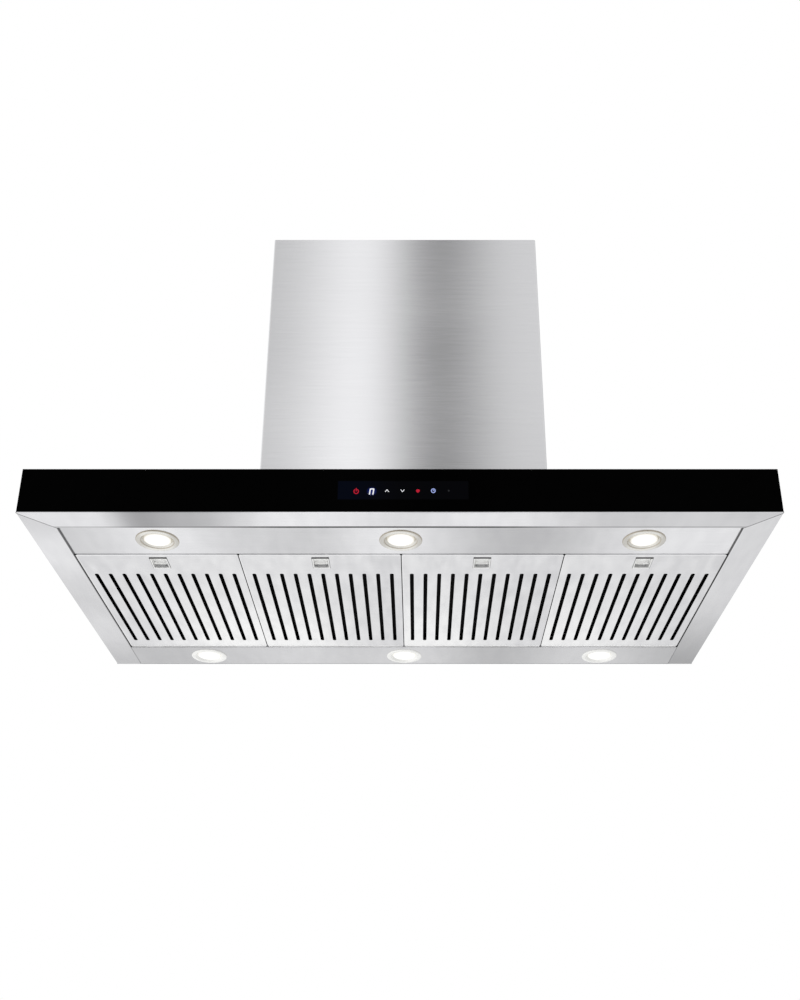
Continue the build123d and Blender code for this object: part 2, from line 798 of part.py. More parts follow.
# Outlet collar: a spigot for the duct, with two ledges that the damper flaps rest on
flap_bottom = pin_height - flap_sheet / 2
knuckle_room = knuckle_radius + knuckle_gap
with BuildPart() as outlet_collar:
    with BuildSketch(Plane.XY.offset(collar_base)):
        with Locations((0, collar_y)):
            Rectangle(2 * (duct_radius + collar_flange), 2 * (duct_radius + collar_flange))
    extrude(amount=collar_wall)
    with BuildSketch(Plane.XY.offset(collar_base)):
        with Locations((0, collar_y)):
            Circle(duct_radius)
    extrude(amount=collar_length)
    with BuildSketch(Plane.XY.offset(collar_base)):
        with Locations((0, collar_y)):
            Circle(duct_bore)
    extrude(amount=collar_length, mode=Mode.SUBTRACT)
    with BuildSketch(Plane.XY.offset(flap_bottom)):
        with Locations((0, collar_y)):
            Circle(duct_bore + collar_wall / 2)
            Circle(duct_bore - ledge_reach, mode=Mode.SUBTRACT)
            Rectangle(2 * duct_radius, ledge_gap, mode=Mode.SUBTRACT)
    extrude(amount=-collar_wall)
    with BuildSketch(Plane.YZ):
        with Locations((collar_y, pin_height)):
            Circle(pin_radius + running_clearance)
    extrude(amount=2 * duct_radius, both=True, mode=Mode.SUBTRACT)

with BuildPart() as damper_pin:
    with BuildSketch(Plane.YZ):
        with Locations((collar_y, pin_height)):
            Circle(pin_radius)
    extrude(amount=duct_radius - pin_end_inset, both=True)


def damper_flap(knuckle_places):
    """A half disc in front of the damper pin, with knuckles round the pin at these places along it."""
    with BuildPart() as flap:
        with BuildSketch(Plane.XY.offset(flap_bottom)):
            with Locations((0, collar_y)):
                Circle(duct_bore - flap_clearance)
            with Locations((0, collar_y - knuckle_room)):
                Rectangle(4 * duct_radius, 2 * duct_radius, align=(Align.CENTER, Align.MIN), mode=Mode.SUBTRACT)
            with Locations(*[(x, collar_y - pin_radius) for x in knuckle_places]):
                Rectangle(knuckle_length, knuckle_radius, align=(Align.CENTER, Align.MAX))
        extrude(amount=flap_sheet)
        for x in knuckle_places:
            with BuildSketch(Plane.YZ.offset(x - knuckle_length / 2)):
                with Locations((collar_y, pin_height)):
                    Circle(knuckle_radius)
            extrude(amount=knuckle_length)
        with BuildSketch(Plane.YZ):
            with Locations((collar_y, pin_height)):
                Circle(pin_radius + running_clearance)
        extrude(amount=2 * duct_radius, both=True, mode=Mode.SUBTRACT)
    return flap


damper_flap_front = damper_flap([-1.5 * knuckle_pitch, 0.5 * knuckle_pitch])
with BuildPart() as damper_flap_rear:
    mirrored_flap = damper_flap([-0.5 * knuckle_pitch, 1.5 * knuckle_pitch])
    mirror(mirrored_flap.part, about=Plane.XZ.offset(-collar_y))

# Electronics box beside the blower box, its lid and the cable gland
electronics_rear = box_middle + electronics_depth / 2
electronics_front = electronics_rear - electronics_depth
with BuildPart() as electronics_box:
    with Locations((electronics_x, electronics_rear, canopy_height)):
        Box(
            electronics_width,
            electronics_depth,
            electronics_height,
            align=(Align.CENTER, Align.MAX, Align.MIN),
        )
    offset(amount=-electronics_wall, openings=electronics_box.faces().sort_by(Axis.Y)[0])
    with BuildSketch(Plane.XY.offset(canopy_height + electronics_height)):
        with Locations((electronics_x, box_middle)):
            Circle(gland_thread_radius + fit_gap)
    extrude(amount=-electronics_wall, mode=Mode.SUBTRACT)

with BuildPart() as electronics_lid:
    with BuildSketch(Plane.XZ.offset(-electronics_front)):
        with Locations((electronics_x, canopy_height + electronics_height / 2)):
            RectangleRounded(electronics_width, electronics_height, electronics_wall)
    extrude(amount=electronics_wall)
    with BuildSketch(Plane.XZ.offset(-electronics_front)):
        with Locations((electronics_x, canopy_height + electronics_height / 2)):
            Rectangle(
                electronics_width - 2 * electronics_wall - 2 * fit_gap,
                electronics_height - 2 * electronics_wall - 2 * fit_gap,
            )
    extrude(amount=-electronics_wall)

gland_base = canopy_height + electronics_height
with BuildPart() as cable_gland:
    with BuildSketch(Plane.XY.offset(gland_base)):
        with Locations((electronics_x, box_middle)):
            RegularPolygon(gland_flat_radius, 6)
    extrude(amount=gland_hex_height)
    with BuildSketch(Plane.XY.offset(gland_base + gland_hex_height)):
        with Locations((electronics_x, box_middle)):
            Circle(gland_cap_radius)
    extrude(amount=gland_cap_height)
    with BuildSketch(Plane.XY.offset(gland_base)):
        with Locations((electronics_x, box_middle)):
            Circle(gland_thread_radius)
    extrude(amount=-gland_thread_length)
    with BuildSketch(Plane.XY.offset(gland_base - gland_thread_length)):
        with Locations((electronics_x, box_middle)):
            Circle(gland_bore_radius)
    extrude(amount=gland_hex_height + gland_cap_height + gland_thread_length, mode=Mode.SUBTRACT)


def screws(*planes):
    """Hex-head screws: a group of solids, one on each plane, with the head on the plane's positive side."""
    with BuildPart() as group:
        for plane in planes:
            with BuildSketch(plane):
                RegularPolygon(screw_head_radius, 6)
            extrude(amount=screw_head_height)
            with BuildSketch(plane):
                Circle(screw_radius)
            extrude(amount=-screw_length)
    return group


chimney_screws = screws(*[Plane(origin=(x, y, canopy_height + sheet)) for x, y in chimney_screw_places])
cover_screws = screws(*[Plane(origin=(x, box_front - sheet, z), z_dir=(0, -1, 0)) for x, z in cover_screw_places])

# Written pieces
pieces = {
    "front_glass": front_glass,
    "front_channel": front_channel,
    "left_side_panel": left_side_panel,
    "right_side_panel": right_side_panel,
    "rear_panel": rear_panel,
    "top_panel": top_panel,
    "front_light_panel": front_light_panel,
    "rear_light_panel": rear_light_panel,
    "control_housing": control_housing,
    "control_board": control_board,
    "light_housings": light_housings,
    "light_lenses": light_lenses,
    "light_clips": light_clips,
    "lower_chimney_cover": lower_chimney_cover,
    "upper_chimney_cover": upper_chimney_cover,
    "chimney_top_bracket": chimney_top_bracket,
    "blower_box": blower_box,
    "blower_box_cover": blower_box_cover,
    "scroll_left_half": scroll_left_half,
    "scroll_right_half": scroll_right_half,
    "impeller": impeller,
    "motor": motor,
    "motor_shaft": motor_shaft,
    "motor_bracket": motor_bracket,
    "outlet_collar": outlet_collar,
    "damper_pin": damper_pin,
    "damper_flap_front": damper_flap_front,
    "damper_flap_rear": damper_flap_rear,
    "electronics_box": electronics_box,
    "electronics_lid": electronics_lid,
    "cable_gland": cable_gland,
    "chimney_screws": chimney_screws,
    "cover_screws": cover_screws,
}
filter_pieces = {
    "frame": filter_frame,
    "baffles": filter_baffles,
    "latch_cup": latch_cup,
    "latch": latch,
    "latch_spring": latch_spring,
}
for number, centre in enumerate(filter_centres, start=1):
    for kind, piece in filter_pieces.items():
        with BuildPart() as placed:
            with Locations((centre, 0, 0)):
                add(piece.part)
        pieces[f"filter_{number}_{kind}"] = placed

os.makedirs("parts", exist_ok=True)
for name, piece in pieces.items():
    piece.part.label = name
    export_step(piece.part, f"parts/{name}.step")
print(len(pieces), "pieces written")
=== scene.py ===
# %% [markdown]
# # A canopy range hood, dressed for a studio picture
#
# The sheet-metal hood comes from CAD as separate pieces in one shared frame: X runs to the right, Y
# towards the wall and Z up, in metres. This lesson keeps those pieces where they are. It adds what CAD
# is poor at: brushed metal, black glass, lit lamps and the small glowing keys of the touch control.

# %% Load the frame
import math

import bmesh
import bpy
import numpy as np
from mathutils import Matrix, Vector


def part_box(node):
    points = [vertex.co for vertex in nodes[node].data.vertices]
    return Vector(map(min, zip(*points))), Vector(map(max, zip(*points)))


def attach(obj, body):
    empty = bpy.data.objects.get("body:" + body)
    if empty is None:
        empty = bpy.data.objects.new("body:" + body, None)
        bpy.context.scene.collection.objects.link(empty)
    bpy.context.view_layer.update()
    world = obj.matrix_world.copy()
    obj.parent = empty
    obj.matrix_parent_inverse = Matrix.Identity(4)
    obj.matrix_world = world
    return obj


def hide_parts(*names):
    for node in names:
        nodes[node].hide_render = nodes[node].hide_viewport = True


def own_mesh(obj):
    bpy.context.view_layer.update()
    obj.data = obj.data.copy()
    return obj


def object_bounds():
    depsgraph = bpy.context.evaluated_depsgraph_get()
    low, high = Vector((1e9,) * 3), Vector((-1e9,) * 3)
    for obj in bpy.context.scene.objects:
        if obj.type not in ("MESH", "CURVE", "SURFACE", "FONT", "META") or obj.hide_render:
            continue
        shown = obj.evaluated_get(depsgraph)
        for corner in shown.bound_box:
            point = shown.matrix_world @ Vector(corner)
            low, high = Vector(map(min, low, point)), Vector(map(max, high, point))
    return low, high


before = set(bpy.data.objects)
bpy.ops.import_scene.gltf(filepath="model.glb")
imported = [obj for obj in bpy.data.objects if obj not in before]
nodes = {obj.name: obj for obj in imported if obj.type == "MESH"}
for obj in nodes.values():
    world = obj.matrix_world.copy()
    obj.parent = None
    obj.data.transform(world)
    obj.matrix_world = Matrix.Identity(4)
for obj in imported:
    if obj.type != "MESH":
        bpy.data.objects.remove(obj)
cad_box = [list(corner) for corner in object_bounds()]
MM = 0.001

# %% [markdown]
# ## Camera
#
# The picture is taken from below, standing in front of the hood and a little to its right. A product
# photographer often shifts the lens to keep upright edges upright. A large shift would push the hood out
# of the picture from other sides, so most of the tilt here is a real tilt, and the shift is small.

# %% Set up the camera
LOOK_UP_DEGREES = 23.45
camera_data = bpy.data.cameras.new("camera")
camera = bpy.data.objects.new("camera", camera_data)
bpy.context.scene.collection.objects.link(camera)
camera.location = (0.029, -2.1998, -0.8542)
camera.rotation_euler = (math.radians(90 + LOOK_UP_DEGREES), 0, 0)
camera_data.sensor_width = 36
camera_data.lens = 40.63
camera_data.shift_x = -0.0184
camera_data.shift_y = 0.12
bpy.context.scene.camera = camera
bpy.context.scene.view_settings.view_transform = "Standard"
print("camera", [round(v, 3) for v in camera.location], "lens", camera_data.lens)

# %% [markdown]
# ## Shader maths as Python
#
# A material is a graph of small nodes. Wiring them one by one hides the idea, so one class wraps a
# socket: plain arithmetic on it adds Math nodes, and `node` adds any other kind.


# %% Wrap a socket
def grey(level):
    """A neutral colour in the form that a socket takes."""
    return (level, level, level, 1)


class Socket:
    """One output in a node tree. Arithmetic with numbers or other sockets adds Math nodes."""

    def __init__(self, tree, socket):
        self.tree = tree
        self.socket = socket

    def node(self, kind, settings=None, sockets=None, output=0):
        """Add a node: its type, its settings, then the values or links of its sockets."""
        made = self.tree.nodes.new(kind)
        for name, value in (settings or {}).items():
            if name == "stops":
                made.color_ramp.interpolation = "EASE"
                ramp = made.color_ramp.elements
                while len(ramp) < len(value):
                    ramp.new(0.5)
                for stop, (position, level) in zip(ramp, value):
                    stop.position = position
                    stop.color = grey(level)
            else:
                setattr(made, name, value)
        for key, value in (sockets or {}).items():
            if isinstance(value, Socket):
                self.tree.links.new(value.socket, made.inputs[key])
            else:
                made.inputs[key].default_value = value
        return Socket(self.tree, made.outputs[output])

    def math(self, operation, *values):
        """Add a Math node on the given values."""
        return self.node("ShaderNodeMath", {"operation": operation}, dict(enumerate(values)))

    def __add__(self, other):
        return self.math("ADD", self, other)

    def __radd__(self, other):
        return self.math("ADD", other, self)

    def __sub__(self, other):
        return self.math("SUBTRACT", self, other)

    def __rsub__(self, other):
        return self.math("SUBTRACT", other, self)

    def __mul__(self, other):
        return self.math("MULTIPLY", self, other)

    def __rmul__(self, other):
        return self.math("MULTIPLY", other, self)

    def __truediv__(self, other):
        return self.math("DIVIDE", self, other)

    def __abs__(self):
        return self.math("ABSOLUTE", self)

    def larger(self, other):
        """The larger of two values."""
        return self.math("MAXIMUM", self, other)

    def below(self, edge, soft):
        """1 where the value is under edge and 0 above it, with an S-shaped fall over a soft band."""
        span = {"From Min": edge - soft / 2, "From Max": edge + soft / 2, "To Min": 1, "To Max": 0}
        smooth = {"interpolation_type": "SMOOTHSTEP"}
        return self.node("ShaderNodeMapRange", smooth, {"Value": self, **span})

    def part(self, axis):
        """One number of a vector: 0 for X, 1 for Y and 2 for Z."""
        return self.node("ShaderNodeSeparateXYZ", None, {0: self}, axis)

    def noise(self, scale, detail=2.0):
        """Noise from 0 to 1, with about scale waves a metre on each axis. A small number draws it out."""
        stretched = self.node("ShaderNodeMapping", None, {"Vector": self, "Scale": scale})
        return self.node("ShaderNodeTexNoise", None, {"Vector": stretched, "Scale": 1.0, "Detail": detail})

    def distance(self, point):
        """How far a vector is from a point."""
        return self.node("ShaderNodeVectorMath", {"operation": "DISTANCE"}, {0: self, 1: point}, 1)

    def mix(self, low, high):
        """A colour between low and high, with this socket as the share of high."""
        return self.node("ShaderNodeMix", {"data_type": "RGBA"}, {0: self, 6: low, 7: high}, 2)


print("socket class ready")

# %% [markdown]
# ## Studio
#
# Brushed steel has no look of its own: it shows the room. The room here is a white studio with a few
# soft grey gaps between its light panels, drawn by direction in the world shader, and only reflections
# see the gaps. The camera sees plain white. The gaps are upright, because upright gaps make the long
# soft bands that a flat steel chimney shows.

# %% Light panels by direction
world = bpy.data.worlds.new("studio")
world.use_nodes = True
bpy.context.scene.world = world
sky_tree = world.node_tree
sky = Socket(sky_tree, None)
direction = sky.node("ShaderNodeTexCoord")
azimuth = sky.math("ARCTAN2", direction.part(0), -1 * direction.part(1))
BAND_SPAN = math.radians(40)
PANEL_STOPS = [(0.0, 1.0), (0.26, 0.82), (0.41, 1.39), (0.53, 0.35), (0.65, 0.92), (1.0, 1.0)]
PANEL_LEVEL = 0.9
CORNER_SWING = 0.06
SIDE_SWING = 0.145
front_panels = sky.node("ShaderNodeValToRGB", {"stops": PANEL_STOPS}, {0: azimuth / BAND_SPAN + 0.5})
sideways = sky.math("SINE", azimuth)
corner_panels = CORNER_SWING * sky.math("SINE", 2 * azimuth)
round_panels = PANEL_LEVEL + corner_panels - SIDE_SWING * sideways * abs(sideways)
panels = sky.node("ShaderNodeVectorMath", {"operation": "MULTIPLY"}, {0: front_panels, 1: round_panels})
print("world with", len(PANEL_STOPS), "panel stops")

# %% Show the panels to reflections
WORLD_LIGHT = 0.8
ray_kinds = sky.node("ShaderNodeLightPath").socket.node.outputs
camera_ray = Socket(sky_tree, ray_kinds["Is Camera Ray"])
glossy_ray = Socket(sky_tree, ray_kinds["Is Glossy Ray"])
clear_ray = Socket(sky_tree, ray_kinds["Is Transmission Ray"])
shown_colour = glossy_ray.mix(grey(1), panels)
shown = sky.node("ShaderNodeBackground", None, {"Color": shown_colour, "Strength": 1.0})
lighting = sky.node("ShaderNodeBackground", None, {"Color": grey(1), "Strength": WORLD_LIGHT})
looked_at = camera_ray.larger(glossy_ray).larger(clear_ray)
both = sky.node("ShaderNodeMixShader", None, {0: looked_at, 1: lighting, 2: shown})
sky_tree.links.new(both.socket, sky_tree.nodes["World Output"].inputs["Surface"])
print("world lights at", WORLD_LIGHT)

# %% Lamps and floor
LAMP_TARGET = (0, -0.3, 0.2)
LAMP_SIZE = 1.6


def area_lamp(name, place, power):
    """A square soft lamp that faces the hood. Steel shows the world's panels, not the lamp."""
    data = bpy.data.lights.new(name, "AREA")
    data.size = LAMP_SIZE
    data.energy = power
    lamp = bpy.data.objects.new(name, data)
    bpy.context.scene.collection.objects.link(lamp)
    lamp.location = place
    away = np.array(LAMP_TARGET) - np.array(place)
    flat = math.hypot(away[0], away[1])
    lamp.rotation_euler = (math.atan2(flat, -away[2]), 0, math.atan2(-away[0], away[1]))
    lamp.visible_glossy = False


area_lamp("key_lamp", (-2.6, -2.4, 2.4), 70)
area_lamp("fill_lamp", (2.8, -1.8, 1.2), 40)

FLOOR_LEVEL = -1.6
FLOOR_RADIUS = 30
FLOOR_SIDES = 64
angle = np.linspace(0, 2 * np.pi, FLOOR_SIDES, endpoint=False)
floor_points = np.stack(
    [FLOOR_RADIUS * np.cos(angle), FLOOR_RADIUS * np.sin(angle), np.full(FLOOR_SIDES, FLOOR_LEVEL)], axis=1
)
floor_mesh = bpy.data.meshes.new("floor")
floor_mesh.from_pydata(floor_points.tolist(), [], [list(range(FLOOR_SIDES))])
floor = bpy.data.objects.new("floor", floor_mesh)
bpy.context.scene.collection.objects.link(floor)
floor.visible_glossy = False
print("two lamps and a floor at", FLOOR_LEVEL)

# %% [markdown]
# ## Finishes
#
# Every finish starts from the Principled shader. Values that are the same all over are set on its
# sockets, and what varies is linked. All patterns read Object coordinates, which are metres in the
# shared frame, so a grain has its real size on every piece.


# %% Start a finish
def finish(name, **constants):
    """A new material with its Object coordinates and a way to feed its shader's sockets."""
    material = bpy.data.materials.new(name)
    material.use_nodes = True
    tree = material.node_tree
    shader = tree.nodes["Principled BSDF"]
    for socket, value in constants.items():
        shader.inputs[socket.replace("_", " ")].default_value = value
    coordinates = Socket(tree, None).node("ShaderNodeTexCoord", output=3)

    def feed(socket, value):
        tree.links.new(value.socket, shader.inputs[socket])

    return material, coordinates, feed


def relief(height, depth):
    """A Bump node that turns a height from 0 to 1 into tilt, for a surface that is depth metres deep."""
    return height.node("ShaderNodeBump", None, {"Height": height, "Distance": depth, "Strength": 0.4})


floor_finish, where, feed = finish("pale_floor", Roughness=0.9)
feed("Base Color", where.noise((2, 2, 2)).mix(grey(0.86), grey(0.89)))
floor_mesh.materials.append(floor_finish)
print("first finish:", floor_finish.name)

# %% Fade the floor into the white of the world
FADE_MIDDLE = 5.0
FADE_BAND = 6.0
far = 1 - where.distance((0, 0, FLOOR_LEVEL)).below(FADE_MIDDLE, FADE_BAND)
seen_by_camera = where.node("ShaderNodeLightPath")
glow = where.node("ShaderNodeEmission", None, {"Color": grey(1), "Strength": 1})
floor_tree = floor_finish.node_tree
lit_floor = Socket(floor_tree, floor_tree.nodes["Principled BSDF"].outputs[0])
faded = where.node("ShaderNodeMixShader", None, {0: far * seen_by_camera, 1: lit_floor, 2: glow})
floor_tree.links.new(faded.socket, floor_tree.nodes["Material Output"].inputs["Surface"])
print("floor fades round", FADE_MIDDLE, "m")

# %% [markdown]
# ### Brushed steel
#
# The sheet is brushed along its length with a fine belt. The scratches are far thinner than a pixel, so
# three things stand for them: noise that is drawn out along the brushing and very fine across it, a
# roughness that follows it, and a shallow bump. Slow clouds keep a wide panel from looking like plastic,
# and hands leave mottled patches on what is taken out and washed.

# %% Brushed steel along each direction
GRAIN = {"x": (14, 1100, 1100), "y": (1100, 14, 1100), "level": (14, 14, 1100)}
STREAK = {"x": (4, 240, 240), "y": (240, 4, 240), "level": (4, 4, 240)}
CLOUD = {"x": (3, 12, 12), "y": (12, 3, 12), "level": (1.5, 1.5, 5)}
PATCH = (48, 16, 48)
GRAIN_SHARE = 0.5
STREAK_SHARE = 0.12
CLOUD_SHARE = 0.4
DARK_STEEL = (0.86, 0.86, 0.885)
PALE_STEEL = (1.13, 1.13, 1.145)
# Colours of the painted reflections of panel gaps, and of dark joints and painted shade
GAP_REFLECTION_COLOUR = (0.2, 0.2, 0.206, 1)
JOINT_AND_SHADE_COLOUR = grey(0.025)


def brushed_steel(
    name, along, tone=0.75, rough=0.2, dips=(), axis=0, mottle=0.5,
    lines=None, light=None, dull=None, **constants,
):
    """Stainless sheet brushed along X, along Y or level round an upright box. Each dip is a soft darker
    patch across the sheet, a painted reflection of a gap between studio panels: its middle on the axis, its
    half width and how deep it is. lines, light and dull take the coordinates and give the share, from 0 to
    1, of a dark joint or painted shade, a painted highlight or sheen, and a matt edge."""
    material, where, feed = finish(name, Metallic=1.0, **constants)
    grain = where.noise(GRAIN[along], 3)
    streak = where.noise(STREAK[along], 2)
    cloud = where.noise(CLOUD[along], 1)
    patch = where.noise(PATCH, 1)
    shade = 0.5 + GRAIN_SHARE * (grain - 0.5) + STREAK_SHARE * (streak - 0.5)
    shade = shade + CLOUD_SHARE * (cloud - 0.5) + mottle * (patch - 0.5)
    dark = (*(level * tone for level in DARK_STEEL), 1)
    pale = (*(level * tone for level in PALE_STEEL), 1)
    colour = shade.mix(dark, pale)
    # Painted reflections: each dip darkens the sheet where a gap between studio panels would show
    for middle, half, depth in dips:
        share = depth * abs(where.part(axis) - middle).below(half / 2, half)
        colour = share.mix(colour, GAP_REFLECTION_COLOUR)
    # Dark joints, and painted shade along bends and on the chimney
    if lines:
        colour = lines(where).mix(colour, JOINT_AND_SHADE_COLOUR)
    # Painted highlights along bends, and painted sheen
    if light:
        colour = light(where).mix(colour, grey(1))
    if dull:
        feed("Metallic", 1 - dull(where))
    feed("Base Color", colour)
    feed("Roughness", rough + 0.08 * (grain - 0.5) + 0.08 * (cloud - 0.5))
    feed("Normal", relief(grain + 0.4 * streak, 0.02 * MM))
    return material


print("steel recipe with", len(GRAIN), "grains")

# %% [markdown]
# ### Joints and bends
#
# Folded sheet shows where it meets its neighbours: a hairline along the mitre of the rim, a shadow along
# a bend, a lip that little light reaches. Such lines are only a few millimetres wide, so they are drawn in
# the finish, the shadows as painted shade: each function below takes the coordinates and gives the
# line's share of the colour.

# %% Measures of the sheets
SIDE = cad_box[1][0]
FRONT = cad_box[0][1]
RIM = 50 * MM
SEAM = 0.6 * MM
MITRE = 1.1 * MM
# Width of the painted shadow along the front rim's bend
RIM_BEND_SHADOW = 4.2 * MM
BEND = 2 * MM
TRAY = (SIDE - RIM) / 2
FOLD = 3 * MM
LEFT_FOLD = 2.6 * MM
FOLD_SOFT = 1 * MM
STRIP_FRONT = -90 * MM
FILTER_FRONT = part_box("filter_1_frame")[0].y
FILTER_REAR = STRIP_FRONT - 2.5 * MM
ROLL_EDGE = STRIP_FRONT + 1.1 * MM
# Size of the patches in the painted sheen on the filters
SHEEN_PATCHES = (80, 28, 80)
print("filters reach from", round(FILTER_FRONT / MM, 1), "to", round(FILTER_REAR / MM, 1), "mm")


# %% Dark joints and painted shade
def mitre_line(where):
    """The joint at 45 degrees, where the distances in from the side and from the front are equal."""
    return 0.86 * abs(abs(where.part(0)) + where.part(1) - (SIDE + FRONT)).below(MITRE, SEAM)


def rim_lines(where):
    """The mitre, and the shadow along the bend where the front rim turns up, deepest near the middle."""
    inner = 1 - where.part(1).below(FRONT + RIM - BEND - RIM_BEND_SHADOW, SEAM)
    depth = 0.32 + 0.68 * abs(where.part(0) + 0.02).below(0.25, 0.2)
    return mitre_line(where).larger(inner * depth)


def side_lines(where):
    """The mitre, and the shadowed lip inside a side rim, back to the rear strip. The left lip is paler."""
    inner = abs(where.part(0)).below(SIDE - RIM + SEAM, SEAM) * where.part(1).below(STRIP_FRONT, SEAM)
    depth = 1 - 0.2 * where.part(0).below(0, SEAM)
    return mitre_line(where).larger(inner * depth)


def strip_ends(where):
    """A hairline at both ends of the rear strip."""
    return 0.66 * (1 - abs(where.part(0)).below(SIDE - RIM - SEAM, SEAM))


def chimney_shade(where):
    """A faint shade at the chimney's upper left and lower right, as if the room were darker there."""
    upper_left = where.part(0).below(-0.1, 0.3) * (1 - where.part(2).below(0.55, 0.5))
    lower_right = (1 - where.part(0).below(0.13, 0.24)) * where.part(2).below(0.3, 0.44)
    return 0.07 * upper_left + 0.09 * lower_right


# The rim's line is a painted shadow along its bend
print("bend shadow at the rim", RIM_BEND_SHADOW / MM, "mm wide")


# %% Painted highlights and matt edges
def filter_hem(where):
    """The bend along a filter's rear edge, on the strip: made matt, and painted pale as a highlight."""
    return 1 - where.part(1).below(FILTER_REAR - FOLD / 2, FOLD_SOFT)


def filter_light(where):
    """Painted highlights along a filter's front and left bends, and a painted sheen that grows towards the
    rear. As on a tray that is a little bowed, the sheen is strongest at one side: turn falls across a tray,
    and the first tray mirrors the others. The painted sheen is patchy, and the pale hem joins it."""
    front_edge = where.part(1).below(FILTER_FRONT + FOLD, FOLD_SOFT)
    left_edge = where.math("FRACT", where.part(0) / TRAY).below(LEFT_FOLD / TRAY, FOLD_SOFT / TRAY)
    turn = where.math("FRACT", abs(where.part(0) + TRAY) / TRAY).below(0.6, 0.9)
    rear = 1 - where.part(1).below(-0.27, 0.36)
    cloudy = 0.3 + 1.4 * where.noise(SHEEN_PATCHES, 2)
    edge = 0.6 * front_edge.larger(left_edge)
    sheen = turn * (0.25 + 0.75 * rear) * cloudy
    return edge.larger(sheen).larger(filter_hem(where))


def strip_roll(where):
    """The rolled front edge of the rear strip, worn matt by the filter hooks."""
    return where.part(1).below(ROLL_EDGE, SEAM)


print("filter bends", FOLD / MM, "mm wide")

# %% [markdown]
# ### Broad shades
#
# The gaps between a studio's panels leave broad soft shades on flat sheet. The world draws most of those
# on the chimney. Seen from the front, the underside mirrors the room behind the hood, where this world has
# no gaps, so the sheets there have those reflected shades painted into their own colour instead, as soft
# dips. Each dip gives its middle and its half width in metres, and its depth.

# %% Where each sheet darkens
RIM_DIPS = [
    (-0.6, 0.3, 0.14), (-0.41, 0.07, 0.6), (-0.34, 0.16, 0.6),
    (0.0, 0.12, 0.14), (0.33, 0.18, 0.3), (0.56, 0.3, 0.28),
]
PANEL_DIPS = [(-0.56, 0.2, 0.36), (-0.24, 0.18, 0.3), (-0.13, 0.12, 0.24), (0.2, 0.24, 0.5)]
REAR_DIPS = [(-0.5, 0.3, 0.34), (-0.1, 0.1, 0.08), (0.19, 0.17, 0.37), (0.57, 0.2, 0.36)]
LEFT_DIPS = [(-0.66, 0.14, 0.22), (-0.32, 0.2, 0.24), (0.03, 0.32, 0.46)]
RIGHT_DIPS = [(0.04, 0.42, 0.68)]
FILTER_DIPS = [(-0.6, 1.2, 0.08)]
print("dips along the rim:", len(RIM_DIPS))

# %% Steel for each kind of sheet
chimney_steel = brushed_steel(
    "chimney_steel", "level", rough=0.16, mottle=0, lines=chimney_shade,
    Anisotropic=0.9, Anisotropic_Rotation=0.25,
)
rim_steel = brushed_steel("rim_steel", "x", tone=0.9, dips=RIM_DIPS, lines=rim_lines)
# The two side rims are one steel in two copies, each with its own tone and painted reflections
left_steel = brushed_steel("left_steel", "y", tone=0.81, dips=LEFT_DIPS, axis=1, lines=side_lines)
right_steel = brushed_steel("right_steel", "y", tone=0.78, dips=RIGHT_DIPS, axis=1, lines=side_lines)
panel_steel = brushed_steel("panel_steel", "x", tone=0.9, dips=PANEL_DIPS)
top_steel = brushed_steel("top_steel", "x", mottle=0.1)
rear_steel = brushed_steel(
    "rear_steel", "x", tone=0.7, dips=REAR_DIPS, lines=strip_ends, dull=strip_roll
)
filter_steel = brushed_steel(
    "filter_steel", "x", tone=0.78, dips=FILTER_DIPS, mottle=1.35, light=filter_light, dull=filter_hem
)
print("steel in eight finishes")

# %% [markdown]
# ### Black glass
#
# The front is clear glass printed black on its back. What shows is one deep black face with a faint
# gloss. The touch window is a clear patch in that print, so its place is a shade bluer where the display
# glows behind it.

# %% Glass front
WINDOW_X = 5 * MM
WINDOW_Z = 41 * MM
WINDOW_HALF = (103 * MM, 16.6 * MM)
WINDOW_SOFT = 1 * MM
DIGIT_PLACE = (-44.5 * MM, FRONT, WINDOW_Z - 2 * MM)
HALO = 6 * MM
black_glass, where, feed = finish(
    "black_glass", Roughness=0.04, IOR=1.5, Specular_IOR_Level=0.006, Emission_Strength=1
)
feed("Base Color", where.noise((40, 40, 40)).mix(grey(0.0002), grey(0.0005)))
inside_x = abs(where.part(0) - WINDOW_X).below(WINDOW_HALF[0], WINDOW_SOFT)
inside_z = abs(where.part(2) - WINDOW_Z).below(WINDOW_HALF[1], WINDOW_SOFT)
window = inside_x * inside_z
left_glow = (where.part(0) - WINDOW_X).below(-45 * MM, 90 * MM)
haze = left_glow.mix((0.0014, 0.0015, 0.0022, 1), (0.0010, 0.0019, 0.0055, 1))
halo = window * where.distance(DIGIT_PLACE).below(HALO, HALO)
feed("Emission Color", halo.mix(window.mix(grey(0), haze), (0.008, 0.016, 0.13, 1)))
print("glass with a touch window", [round(2 * half / MM) for half in WINDOW_HALF], "mm")

# %% [markdown]
# ### Finishes out of sight
#
# The blower, its box and the electronics show from behind and above. Zinc-coated sheet has a crystal
# pattern, moulded housings have a fine leathery grain, turned or cast aluminium is satin, and a circuit
# board has a net of tracks under green lacquer.

# %% Zinc, plastic and satin metal
SPECKLE = (600, 600, 600)


def zinc_coat(name):
    """Zinc-coated sheet: flat crystals of slightly different greys."""
    material, where, feed = finish(name, Metallic=0.9)
    crystal = where.node("ShaderNodeTexVoronoi", None, {"Vector": where, "Scale": 170.0}, 1).part(0)
    feed("Base Color", crystal.mix((0.51, 0.52, 0.54, 1), (0.64, 0.65, 0.67, 1)))
    feed("Roughness", 0.38 + 0.12 * crystal)
    return material


